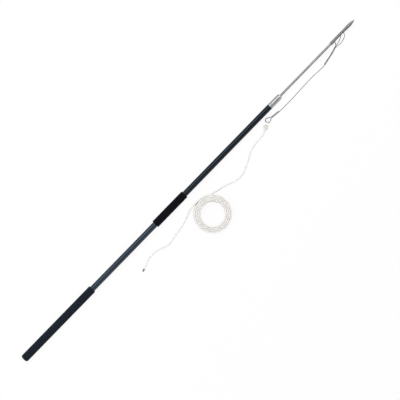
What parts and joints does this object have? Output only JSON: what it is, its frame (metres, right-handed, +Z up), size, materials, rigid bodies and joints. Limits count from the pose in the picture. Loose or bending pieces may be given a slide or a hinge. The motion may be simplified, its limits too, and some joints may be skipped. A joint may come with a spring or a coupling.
{
  "type": "two-piece hand harpoon with line",
  "caption": "Long throwing harpoon: foam-gripped pole in two screwed halves, steel shaft, loose dart, leader wire and a coiled white rope.",
  "frame": {"origin": "on the floor under the middle of the harpoon's length, below the pole's axis", "axes": "+X along the pole towards the dart's point, +Y to the side away from the line, +Z up"},
  "size_m": [2.365, 0.2853, 0.041],
  "materials": {
    "foam": "matte",
    "plug_plastic": "matte",
    "slate_paint": "gloss",
    "navy_paint": "gloss",
    "turned_alloy": "satin",
    "dark_steel": "satin",
    "steel": "satin",
    "seal_rubber": "satin",
    "elastic": "matte",
    "wire": "satin",
    "sleeve_metal": "satin",
    "rope": "matte",
    "rope_end": "satin"
  },
  "bodies": {
    "front_section": {"front_spigot": "turned_alloy", "front_tube": "navy_paint", "front_ferrule": "turned_alloy", "ferrule_screw": "dark_steel", "shaft": "steel"},
    "seal": {"joint_seal": "seal_rubber"},
    "rear_section": {"rear_grip": "foam", "butt_plug": "plug_plastic", "rear_tube": "slate_paint", "mid_grip": "foam", "rear_socket": "turned_alloy"},
    "line": {"dart": "steel", "keeper": "elastic", "leader_wire": "wire", "wire_sleeve_front": "sleeve_metal", "wire_sleeve_mid": "sleeve_metal", "wire_sleeve_rear": "sleeve_metal", "thimble": "sleeve_metal", "rope_knot": "rope", "rope_lead": "rope", "rope_coil": "rope", "rope_tail": "rope", "rope_tip": "rope_end"}
  },
  "joints": [
    {"name": "joint_travel", "type": "slide", "parent": "front_section", "child": "seal", "axis": [-1, 0, 0], "range_m": [0, 0.0201]},
    {"name": "joint_turn", "type": "hinge", "parent": "seal", "child": "rear_section", "pos_m": [-0.0325, 0, 0.0205], "axis": [-1, 0, 0], "range_deg": [0, 1440]},
    {"name": "dart_pull", "type": "slide", "parent": "front_section", "child": "line", "axis": [1, 0, 0], "range_m": [0, 0.09]}
  ],
  "couplings": [
    {"joint": "joint_travel", "follows": "joint_turn", "m_per_rad": 0.00079577}
  ]
}
